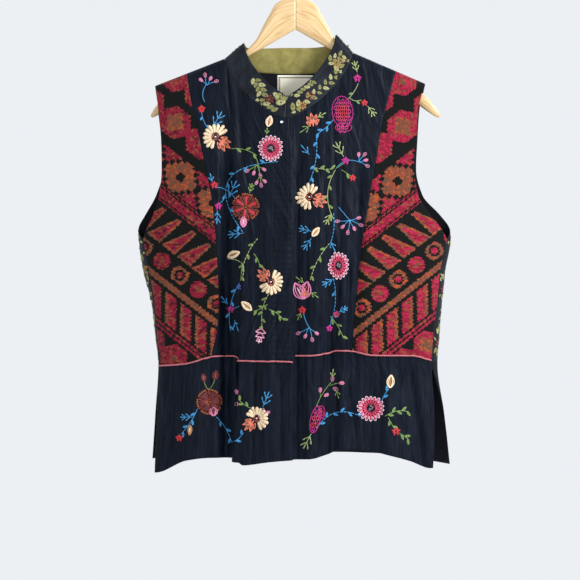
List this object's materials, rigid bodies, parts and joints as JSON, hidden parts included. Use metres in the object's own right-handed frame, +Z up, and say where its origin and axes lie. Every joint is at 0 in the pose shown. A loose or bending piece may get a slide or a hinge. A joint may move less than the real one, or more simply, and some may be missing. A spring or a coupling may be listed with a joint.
{
  "type": "embroidered vest on a wooden clothes hanger",
  "caption": "Sleeveless embroidered vest with a stand collar, woven side panels and a flared skirt part, hung on a wooden clothes hanger.",
  "frame": {"origin": "top of the inside of the hanger's hook, where it bears on a rail", "axes": "+Z up, the front of the vest faces -Y, the wearer's right side (the left of the picture) is -X"},
  "size_m": [0.4774, 0.1093, 0.7956],
  "materials": {
    "silk": "blue-black plain weave with a faint sheen, worked with coloured flowers on the fronts",
    "tapestry": "ribbed jacquard in reds, rust and green-black",
    "brocade": "black satin ground with raised olive-gold leaves",
    "piping": "salmon bias cloth over a cord",
    "facing": "olive velvety cloth",
    "label": "cream woven tape, bare",
    "button": "small bright cap",
    "wood": "clear-lacquered pale wood",
    "hook": "bright plated wire"
  },
  "bodies": {
    "root": {"front_middle_left": "silk", "front_middle_right": "silk", "front_side_left": "tapestry", "front_side_right": "tapestry", "back_middle": "silk", "back_side_left": "brocade", "back_side_right": "brocade", "skirt_front_left": "silk", "skirt_front_right": "silk", "skirt_back": "silk", "waist_piping_left": "piping", "waist_piping_right": "piping", "collar_band": "brocade", "collar_facing": "facing", "neck_label": "label", "neck_button": "button", "hanger_left": "wood", "hanger_right": "wood", "hanger_hook": "hook"}
  },
  "joints": []
}
